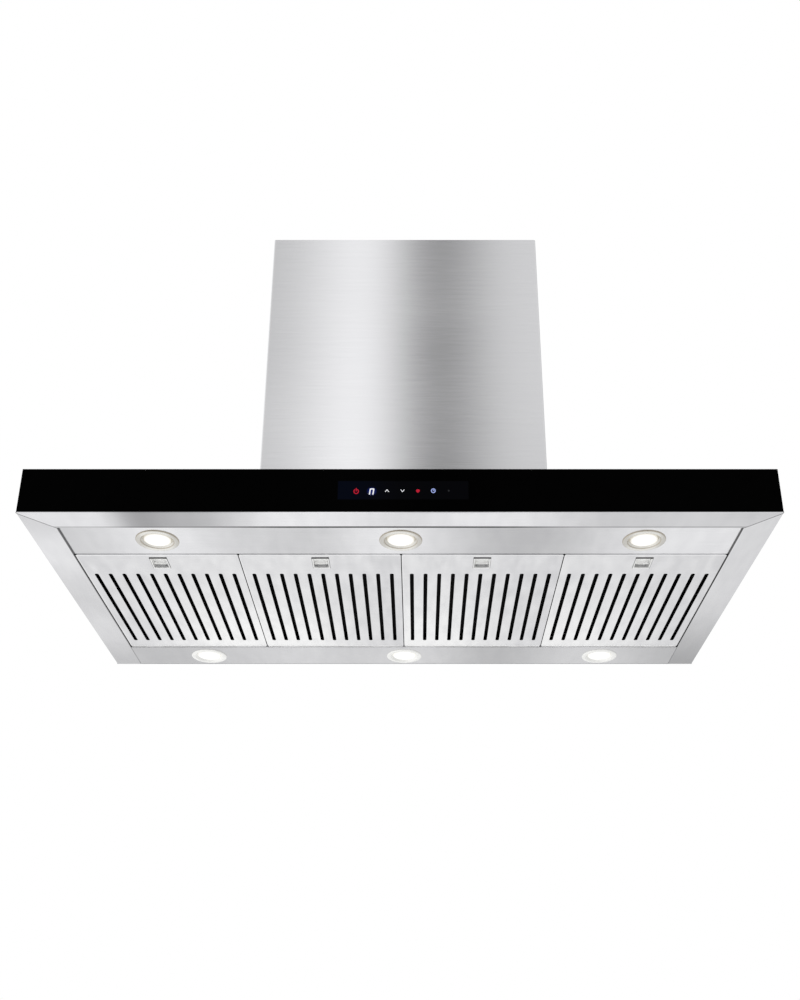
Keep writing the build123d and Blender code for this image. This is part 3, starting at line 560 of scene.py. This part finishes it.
def moulded_plastic(name, dark, pale):
    """A moulded housing: fine grain in relief and a little mottling."""
    material, where, feed = finish(name)
    grain = where.noise((900, 900, 900), 3)
    feed("Base Color", grain.mix(dark, pale))
    feed("Roughness", 0.48 + 0.2 * grain)
    feed("Normal", relief(grain, 0.05 * MM))
    return material


def satin_metal(name, dark, pale, rough):
    """Plain satin metal with fine even speckle."""
    material, where, feed = finish(name, Metallic=1.0)
    speckle = where.noise(SPECKLE, 3)
    feed("Base Color", speckle.mix(dark, pale))
    feed("Roughness", rough + 0.12 * (speckle - 0.5))
    return material


zinc = zinc_coat("zinc_sheet")
black_plastic = moulded_plastic("black_plastic", (0.010, 0.010, 0.011, 1), (0.030, 0.030, 0.032, 1))
aluminium = satin_metal("satin_aluminium", (0.66, 0.66, 0.67, 1), (0.80, 0.80, 0.81, 1), 0.34)
spring_steel = satin_metal("spring_steel", (0.40, 0.41, 0.44, 1), (0.56, 0.57, 0.60, 1), 0.30)
blued_steel = satin_metal("blued_steel", (0.50, 0.505, 0.52, 1), (0.62, 0.625, 0.64, 1), 0.35)
nickel = satin_metal("screw_nickel", (0.80, 0.80, 0.80, 1), (0.90, 0.90, 0.89, 1), 0.24)
print("six plain finishes")

# %% Circuit board
board_green, where, feed = finish("board_green", Roughness=0.35)
tracks = where.node(
    "ShaderNodeTexVoronoi", {"feature": "DISTANCE_TO_EDGE"}, {"Vector": where, "Scale": 260.0}
)
feed("Base Color", tracks.below(0.06, 0.04).mix((0.012, 0.07, 0.03, 1), (0.03, 0.16, 0.07, 1)))
print("board finished")

# %% [markdown]
# ### Latches and baffles
#
# A nickel latch slides in a pressed cup near the front of each filter. The cup's bezel stands a little
# proud, with a thin painted shadow round it, darkest at the front, and the cup's inside is painted a shade
# darker at the rear, behind the latch tab. Behind the slots lie baffle channels that catch grease: near
# black as painted shade where they face down, and bare dull metal above.

# %% Latch cup and latch
BEZEL = 2.4 * MM
FRONT_LINE = 1.25 * BEZEL
SIDE_LINE = 0.8 * MM
LINE_SOFT = 0.3 * MM
CUP_MOUTH = 3 * MM
cup_low, cup_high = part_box("filter_1_latch_cup")
cup_nickel, where, feed = finish("cup_nickel", Metallic=0.3, Roughness=0.3)
cup_speckle = where.noise(SPECKLE, 3).mix((0.86, 0.86, 0.85, 1), (0.95, 0.95, 0.94, 1))
# Painted shadow: a dark line along the front of the bezel and on into the cup, a fainter one round the cup's
# sides, and a darker rear inside, behind the latch tab
front_shadow_line = where.part(1).below(cup_low.y + FRONT_LINE, LINE_SOFT)
from_middle = TRAY * abs(where.math("FRACT", where.part(0) / TRAY) - 0.5)
side_shadow_line = 1 - from_middle.below((cup_high.x - cup_low.x) / 2 - SIDE_LINE, LINE_SOFT)
behind_tab_shade = 1 - where.part(1).below(cup_high.y - 2 * BEZEL, LINE_SOFT)
inside_cup = 1 - where.part(2).below(CUP_MOUTH, LINE_SOFT)
cup_colour = (behind_tab_shade * inside_cup).mix(cup_speckle, grey(0.62))
feed("Base Color", front_shadow_line.larger(0.75 * side_shadow_line).mix(cup_colour, grey(0.02)))
latch_nickel, where, feed = finish("latch_nickel", Metallic=0.2, Roughness=0.3)
feed("Base Color", where.noise(SPECKLE, 3).mix((0.93, 0.93, 0.92, 1), (1.0, 1.0, 0.99, 1)))
print("cup outline", round(FRONT_LINE / MM, 1), "and", round(SIDE_LINE / MM, 1), "mm wide")

# %% Baffle channels
END_WALL = 5 * MM
baffle_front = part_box("filter_1_baffles")[0].y
baffle_metal, where, feed = finish("baffle_metal", Specular_IOR_Level=0.03)
facing = where.node("ShaderNodeTexCoord", output=1)
upward = 1 - facing.part(2).below(0.5, 0.4)
end_wall = facing.part(1).below(-0.5, 0.4) * where.part(1).below(baffle_front + END_WALL, 1 * MM)
bare = upward.larger(end_wall)
baffle_grain = where.noise(GRAIN["y"], 3)
# Faces that look down are near black as painted shade inside the slots; faces that look up, and the front
# end walls, are bare metal
slot_shade_black = baffle_grain.mix((0.0012, 0.0012, 0.0013, 1), (0.0032, 0.0032, 0.0034, 1))
bare_metal = baffle_grain.mix((0.22, 0.22, 0.23, 1), (0.38, 0.38, 0.39, 1))
feed("Base Color", bare.mix(slot_shade_black, bare_metal))
feed("Metallic", bare)
feed("Roughness", 0.6 - 0.3 * bare)
print("baffles bare above and at their front ends")

# %% [markdown]
# ## Dress the CAD pieces
#
# The frame already placed every piece, so dressing one is a matter of giving its object a finish. What
# the table doesn't name is zinc-coated sheet.

# %% Give each node its finish
DRESS = {
    "front_channel": rim_steel,
    "left_side_panel": left_steel,
    "right_side_panel": right_steel,
    "top_panel": top_steel,
    "front_light_panel": panel_steel,
    "rear_light_panel": rear_steel,
    "lower_chimney_cover": chimney_steel,
    "upper_chimney_cover": chimney_steel,
    "front_glass": black_glass,
    "control_board": board_green,
}
KINDS = {
    "frame": filter_steel,
    "baffles": baffle_metal,
    "latch_cup": cup_nickel,
    "latch": latch_nickel,
    "latch_spring": blued_steel,
}
PLASTIC = ["control_housing", "scroll_left_half", "scroll_right_half"]
PLASTIC += ["electronics_box", "electronics_lid", "cable_gland"]
DRESS |= dict.fromkeys(PLASTIC, black_plastic)
DRESS |= dict.fromkeys(["impeller", "motor", "motor_bracket", "light_housings", "light_lenses"], aluminium)
DRESS |= dict.fromkeys(["light_clips", "motor_shaft", "damper_pin"], spring_steel)
DRESS |= dict.fromkeys(["chimney_screws", "cover_screws"], nickel)
FILTERS = range(1, 5)
for number in FILTERS:
    for kind, coat in KINDS.items():
        DRESS[f"filter_{number}_{kind}"] = coat
for name, node in nodes.items():
    node.data.materials.clear()
    node.data.materials.append(DRESS.get(name, zinc))
print("dressed", len(nodes), "nodes,", sum(name not in DRESS for name in nodes), "of them in zinc")

# %% [markdown]
# ## New pieces as grids of points
#
# Each new piece is a surface with two parameters: one runs along a path or round a circle, the other
# round a profile. The points come out as one array, and neighbours on that grid make the quads. Where a
# row shrinks to a point its doubles are merged, which closes the ends.

# %% From grids to a mesh
MERGE = 0.002 * MM
SHARP_ANGLE = math.radians(40)


def surface(name, grids, coat, body="canopy", tint=None):
    """One object from grids of points, shaped (grids, rows, columns, 3). Columns close into a loop. A tint
    for each row is kept on its points, for the finish to read."""
    grids = np.asarray(grids, float)
    count, rows, columns, _ = grids.shape
    row = np.arange(rows - 1)[:, None]
    column = np.arange(columns)[None, :]
    next_column = (column + 1) % columns
    corners = [(row, column), (row, next_column), (row + 1, next_column), (row + 1, column)]
    quads = np.stack([r * columns + c for r, c in corners], axis=-1).reshape(-1, 4)
    quads = (quads[None] + np.arange(count)[:, None, None] * rows * columns).reshape(-1, 4)
    mesh = bpy.data.meshes.new(name)
    mesh.from_pydata(grids.reshape(-1, 3), [], quads)
    if tint is not None:
        shades = np.broadcast_to(np.asarray(tint, float)[None, :, None], (count, rows, columns))
        mesh.attributes.new("tint", "FLOAT", "POINT").data.foreach_set("value", shades.ravel())
    work = bmesh.new()
    work.from_mesh(mesh)
    bmesh.ops.remove_doubles(work, verts=work.verts, dist=MERGE)
    bmesh.ops.recalc_face_normals(work, faces=work.faces)
    work.to_mesh(mesh)
    work.free()
    mesh.polygons.foreach_set("use_smooth", np.ones(len(mesh.polygons), bool))
    mesh.set_sharp_from_angle(angle=SHARP_ANGLE)
    mesh.materials.append(coat)
    piece = bpy.data.objects.new(name, mesh)
    bpy.context.scene.collection.objects.link(piece)
    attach(piece, body)
    print(name, len(mesh.vertices), "points,", len(mesh.polygons), "faces")
    return piece


print("grids become quads")


# %% Turn and sweep a profile
def turned(profile, places, steps=96):
    """Spin a profile round an upright axis at each place. Point (i, j) is the place plus radius i times the
    cosine and sine of angle j, and height i."""
    profile = np.asarray(profile, float)
    angle = np.linspace(0, 2 * np.pi, steps, endpoint=False)
    ring = np.stack(
        [profile[:, :1] * np.cos(angle), profile[:, :1] * np.sin(angle), profile[:, 1:] + 0 * angle], axis=-1
    )
    return np.asarray(places, float)[:, None, None, :] + ring[None]


def swept(path, up, profile, size=None):
    """Carry a profile along a path. Point (i, j) is path i, plus size i times profile j's first number
    sideways, plus its second number along up. Sideways is the path's direction crossed with up. The first
    and last rows are drawn in to a point, which closes the ends."""
    path, profile = np.asarray(path, float), np.asarray(profile, float)
    ahead = np.gradient(path, axis=0)
    side = np.cross(ahead, up)
    side /= np.linalg.norm(side, axis=1, keepdims=True)
    size = np.ones(len(path)) if size is None else np.asarray(size, float)
    rows = (
        path[:, None]
        + (size[:, None] * profile[None, :, 0])[..., None] * side[:, None]
        + profile[None, :, 1, None] * np.asarray(up, float)
    )
    ends = rows[[0, -1]].mean(axis=1, keepdims=True).repeat(len(profile), axis=1)
    return np.concatenate([ends[:1], rows, ends[1:]])


print("grid helpers ready")

# %% [markdown]
# ## Lights
#
# A recessed lamp is a turned ring that lies on the panel, a polished cone and a frosted lens. CAD holds
# the same ring with few facets. The ones here are spun finely, with rolled edges, because they are the
# brightest things in the picture and an edge with corners would show at once. Each profile point also
# carries a tint: on the ring, how much painted shade the metal gets there, in a groove or at an edge.

# %% Find the six lamps
low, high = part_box("light_housings")
TRIM = 35.5 * MM
FRONT_PANEL = 4 * MM
REAR_PANEL = 0.0
lamp_x = (low.x + TRIM, 0.0, high.x - TRIM)
lamp_places = [(x, low.y + TRIM, FRONT_PANEL) for x in lamp_x]
lamp_places += [(x, high.y - TRIM, REAR_PANEL) for x in lamp_x]
print("lamps at", np.round(lamp_places, 4).tolist())

# %% Ring finish
BETWEEN_ROWS = -300 * MM
ROW_SOFT = 100 * MM
RING_SIDE = 24 * MM
RING_SIDE_SOFT = 16 * MM


def point_tint(where):
    """The tint that a turned piece keeps on its points."""
    return where.node("ShaderNodeAttribute", {"attribute_name": "tint"}, output=2)


def front_row(where):
    """1 on the front row of lamps and 0 on the rear row."""
    return where.part(1).below(BETWEEN_ROWS, ROW_SOFT)


# Painted shade: the front rings are darker at their left and right and brown in their groove and rolled
# edges, where the tint is high; the rear rings are a paler painted copy, with little groove shade
ring_coat, where, feed = finish("lamp_ring", Metallic=0.8)
speckle = where.noise((500, 500, 500), 3)
aside = abs(where.part(0))
from_axis = aside.math("MINIMUM", aside, abs(aside - lamp_x[2]))
side_shade = 0.8 * (1 - from_axis.below(RING_SIDE, RING_SIDE_SOFT))
front_satin = side_shade.mix(speckle.mix((0.80, 0.79, 0.75, 1), (0.90, 0.89, 0.85, 1)), (0.56, 0.54, 0.5, 1))
satin = front_row(where).mix((0.97, 0.97, 0.95, 1), front_satin)
groove_shade = point_tint(where) * (0.06 + 0.94 * front_row(where))
feed("Base Color", groove_shade.mix(satin, (0.44, 0.39, 0.31, 1)))
feed("Roughness", 0.2 + 0.12 * speckle)
print("rings are darker on their left and right in the front row, and paler in the rear row")

# %% Ring and body
# Radius and height in millimetres, then the tint of painted shade
RING_PROFILE = np.array([
    (0, 5.5, 0), (22.5, 5.5, 0), (22.5, 3.2, 0.1), (22.8, 2.8, 0.1), (26.2, -0.2, 0.15),
    (26.7, -0.6, 0.9), (27.2, -0.8, 0.9), (27.6, -1.5, 0.35), (28.3, -1.9, 0.05), (29.4, -2.0, 0),
    (33.2, -2.0, 0), (34.3, -1.8, 0.1), (35.0, -1.3, 0.75), (35.4, -0.7, 0.9), (35.5, 0, 0.9),
    (30.5, 0, 0.3), (30.5, 17.2, 0), (29.7, 18, 0), (0, 18, 0),
])
rings = surface(
    "lamp_rings", turned(MM * RING_PROFILE[:, :2], lamp_places), ring_coat,
    tint=RING_PROFILE[:, 2],
)
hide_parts("light_housings")

# %% Frosted lens
# Lengths of the lens in millimetres
LENS_RADIUS = 22.2
LENS_EDGE = 0.6
LENS_DOME = 1.4
LENS_BACK = 5.4
DOME_ROWS = 13
EDGE_TINT = 0.8
lens_coat, where, feed = finish("lamp_lens", Roughness=0.35, Emission_Strength=0.8)
frost = where.noise((700, 700, 700), 2).mix((1.0, 0.99, 0.965, 1), (1.0, 1.0, 0.995, 1))
dim_edge = point_tint(where) * (0.4 + 0.6 * front_row(where))
feed("Base Color", dim_edge.mix((0.34, 0.34, 0.335, 1), (0.5, 0.48, 0.44, 1)))
feed("Emission Color", dim_edge.mix(frost, (0.46, 0.44, 0.39, 1)))
outward = np.linspace(0, 1, DOME_ROWS)
dome = np.stack([LENS_RADIUS * outward, LENS_EDGE - LENS_DOME * (1 - outward**2)], axis=1)
lens_profile = MM * np.concatenate([dome, [(LENS_RADIUS, LENS_BACK), (0, LENS_BACK)]])
lens_tint = np.concatenate([np.clip((outward - EDGE_TINT) / (1 - EDGE_TINT), 0, 1), [1, 0]])
lenses = surface("lamp_lenses", turned(lens_profile, lamp_places), lens_coat, tint=lens_tint)
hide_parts("light_lenses")

# %% [markdown]
# ## Touch keys
#
# The keys are light behind clear marks in the black print. Each mark is a stroke: a flat rounded band
# carried along a line on the glass, with round ends. A dot is a stroke so short that only its ends
# remain.

# %% Strokes on the glass
# Lengths of the keys in millimetres
KEY_HEIGHT = 40
KEY_STRETCH = 1.15
PROUD = 0.15
SUNK = 0.05
END_STEPS = 7
END_REACH = 0.999
TIP = 1e-4
BAND = np.array([(-1, 0), (-1, 0.8), (-0.8, 1), (0.8, 1), (1, 0.8), (1, 0)])


def stroke(key_x, points, width, samples=40):
    """A band on the glass through points (across, up) in millimetres round a key's middle. Along it the
    half width is constant. Past each end it follows a half circle: the half width shrinks as the cosine of
    an angle while the line goes on by its sine."""
    points = np.asarray(points, float)
    runs = np.r_[0, np.cumsum(np.linalg.norm(np.diff(points, axis=0), axis=1))]
    along = np.linspace(0, runs[-1], samples)
    line = np.stack([np.interp(along, runs, points[:, axis]) for axis in (0, 1)], axis=1)
    half = width / 2
    turn = np.linspace(0, np.pi / 2, END_STEPS)[1:]
    start, end = line[0] - line[1], line[-1] - line[-2]
    start, end = start / np.linalg.norm(start), end / np.linalg.norm(end)
    head = line[0] + half * END_REACH * np.sin(turn[::-1])[:, None] * start
    tail = line[-1] + half * END_REACH * np.sin(turn)[:, None] * end
    line = np.concatenate([head, line, tail])
    size = np.concatenate([np.cos(turn[::-1]), np.ones(samples), np.cos(turn)]) + TIP
    on_glass = [key_x + line[:, 0], np.full(len(line), FRONT / MM), KEY_HEIGHT + KEY_STRETCH * line[:, 1]]
    profile = np.stack([half * BAND[:, 0], (PROUD + SUNK) * BAND[:, 1] - SUNK], axis=1)
    return MM * swept(np.stack(on_glass, axis=1), (0, -1, 0), profile, size)


def arc(radius, first, last, steps=40):
    """Points on a circle round the key's middle, from one angle to another in degrees."""
    angle = np.radians(np.linspace(first, last, steps))
    return np.stack([radius * np.cos(angle), radius * np.sin(angle)], axis=1)


print("strokes stand", PROUD, "mm proud of the glass")


# %% Lit marks
def lit(name, low, high):
    """A glowing mark whose brightness wanders a little, as a diffuser's does."""
    material, where, feed = finish(name, Roughness=0.6, Specular_IOR_Level=0.0, Emission_Strength=1.0)
    feed("Base Color", where.noise((300, 300, 300)).mix(grey(0.003), grey(0.006)))
    feed("Emission Color", where.noise((400, 400, 400)).mix(low, high))
    return material


red_light = lit("key_red", (0.36, 0.006, 0.02, 1), (0.60, 0.014, 0.04, 1))
white_light = lit("key_white", (0.74, 0.76, 0.84, 1), (1.0, 1.0, 1.0, 1))
blue_light = lit("key_blue", (0.12, 0.18, 0.55, 1), (0.50, 0.58, 0.90, 1))
dim_light = lit("key_dim", (0.012, 0.013, 0.014, 1), (0.02, 0.021, 0.023, 1))
FIRST_KEY = -69
PITCH = 24.3
keys = [FIRST_KEY + PITCH * i for i in range(7)]
power_key, digit_key, up_key, down_key, lamp_key, clock_key, unlit_key = keys
print("keys at", np.round(keys, 1).tolist())

# %% Power key and lamp key
red_marks = [
    stroke(power_key, arc(3.5, 125, 415) - (0, 1), 1.5),
    stroke(power_key, [(0, -0.6), (0, 3.6)], 1.4),
    stroke(lamp_key, [(-0.5, 0), (0.5, 0)], 5.0),
    stroke(lamp_key, [(-1.0, -2.6), (1.0, -2.6)], 0.8),
]
surface("touch_marks_red", red_marks, red_light)

# %% Speed digit and arrows
LEAN = 0.16
DIGIT_DROP = 1.2
BAR_WIDTH = 2.0
BARS = [
    [(-2.2, 4.0), (2.4, 4.0)],
    [(-2.6, 0.8), (-2.6, 3.6)],
    [(-2.6, -4.0), (-2.6, -0.8)],
    [(2.8, 0.8), (2.8, 3.6)],
    [(2.8, -4.0), (2.8, -0.8)],
]
leaning = [[(x + LEAN * y, y - DIGIT_DROP) for x, y in bar] for bar in BARS]
white_marks = [stroke(digit_key, bar, BAR_WIDTH) for bar in leaning]
white_marks += [
    stroke(up_key, [(-2.6, -1.5), (0, 1.7), (2.6, -1.5)], 1.0),
    stroke(down_key, [(-2.6, 1.5), (0, -1.7), (2.6, 1.5)], 1.0),
]
surface("touch_marks_white", white_marks, white_light)

# %% Clock key and the unlit key
DOT = [(0, -0.01), (0, 0.01)]
clock_marks = [
    stroke(clock_key, arc(3.0, 0, 360), 1.5),
    stroke(clock_key, [(0, 0), (0, 2.4)], 1.0),
    stroke(clock_key, [(0, 0), (1.7, 0)], 1.0),
]
surface("touch_marks_blue", clock_marks, blue_light)
surface("touch_mark_dim", [stroke(unlit_key, DOT, 3.0)], dim_light)

# %% [markdown]
# ## Latch springs
#
# Behind each latch a bowed leaf pushes its tongue out. When the latch slides back the leaf flattens. Each
# leaf here is its own piece on its filter, drawn bowed from the rear wall of the cup. Its bow is a parabola
# between the two ends.

# %% Bowed leaves
LEAF_POINTS = 49
LEAF_HALF = 0.22 * MM
LEAF_ROOM = 0.25 * MM
LEAF_SPAN = 0.985
reach = np.linspace(-1, 1, LEAF_POINTS)
for number in FILTERS:
    low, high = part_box(f"filter_{number}_latch_spring")
    middle = (low.x + high.x) / 2
    half_height = (high.z - low.z) / 2
    bow = high.y - low.y - 2 * LEAF_ROOM
    leaf_path = np.stack([
        middle + reach * (high.x - low.x) / 2 * LEAF_SPAN,
        high.y - LEAF_ROOM - bow * (1 - reach**2),
        np.full(LEAF_POINTS, (low.z + high.z) / 2),
    ], axis=1)
    leaf_profile = np.array([(-1, -1), (1, -1), (1, 1), (-1, 1)]) * (LEAF_HALF, half_height)
    leaf = surface(
        f"filter_{number}_leaf", [swept(leaf_path, (0, 0, 1), leaf_profile)], blued_steel,
        f"filter_{number}",
    )
    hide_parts(f"filter_{number}_latch_spring")
    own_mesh(leaf)

# %% [markdown]
# ## Filter hems
#
# The rear edge of each tray is folded back on itself, which makes it safe to hold and twice as thick.
# The fold lies in front of the strip's rolled edge and hides the gap above it. It is a bead carried
# along the edge, between the tray's rounded corners.

# %% Folded edges
HEM = 0.9 * MM
HEM_BACK = 0.2 * MM
HEM_POINTS = 33
HEM_SIDES = 16
CORNER = 2 * MM
around = np.linspace(0, 2 * np.pi, HEM_SIDES, endpoint=False)
hem_profile = HEM * np.stack([np.cos(around), np.sin(around)], axis=1)
for number in FILTERS:
    low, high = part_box(f"filter_{number}_frame")
    hem_path = np.stack([
        np.linspace(low.x + CORNER, high.x - CORNER, HEM_POINTS),
        np.full(HEM_POINTS, FILTER_REAR + HEM_BACK),
        np.full(HEM_POINTS, low.z),
    ], axis=1)
    surface(
        f"filter_{number}_hem", [swept(hem_path, (0, 0, 1), hem_profile)], filter_steel,
        f"filter_{number}",
    )
